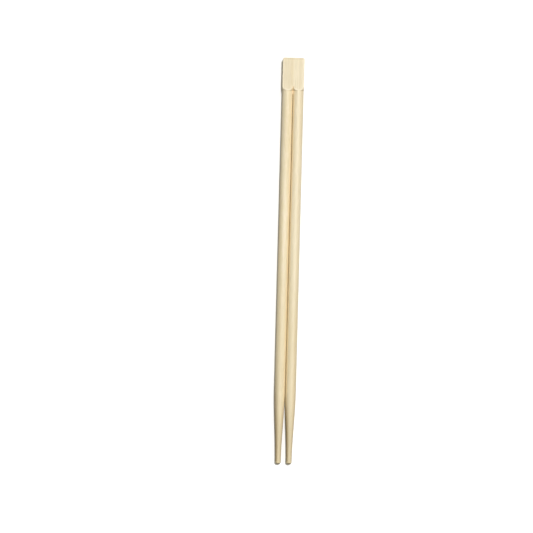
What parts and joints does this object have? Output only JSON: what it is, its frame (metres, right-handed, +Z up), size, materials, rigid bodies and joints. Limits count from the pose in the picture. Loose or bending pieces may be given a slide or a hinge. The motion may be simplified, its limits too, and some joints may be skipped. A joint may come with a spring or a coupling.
{
  "type": "disposable chopsticks",
  "caption": "Joined bamboo chopsticks: a flat head runs through scalloped shoulders into round legs parted by a saw slit, tapering to domed tips; snapped apart for eating.",
  "frame": {"origin": "centre of the bounding box on the underside of the head", "axes": "+Y along the legs from the tips to the head, +X across both legs, +Z up out of the broad face of the head, with the part lying flat"},
  "size_m": [0.0112, 0.21, 0.0056],
  "materials": {
    "bamboo": "planed and sanded pale bamboo, unvarnished"
  },
  "bodies": {
    "root": {"left_stick": "bamboo", "right_stick": "bamboo"}
  },
  "joints": []
}
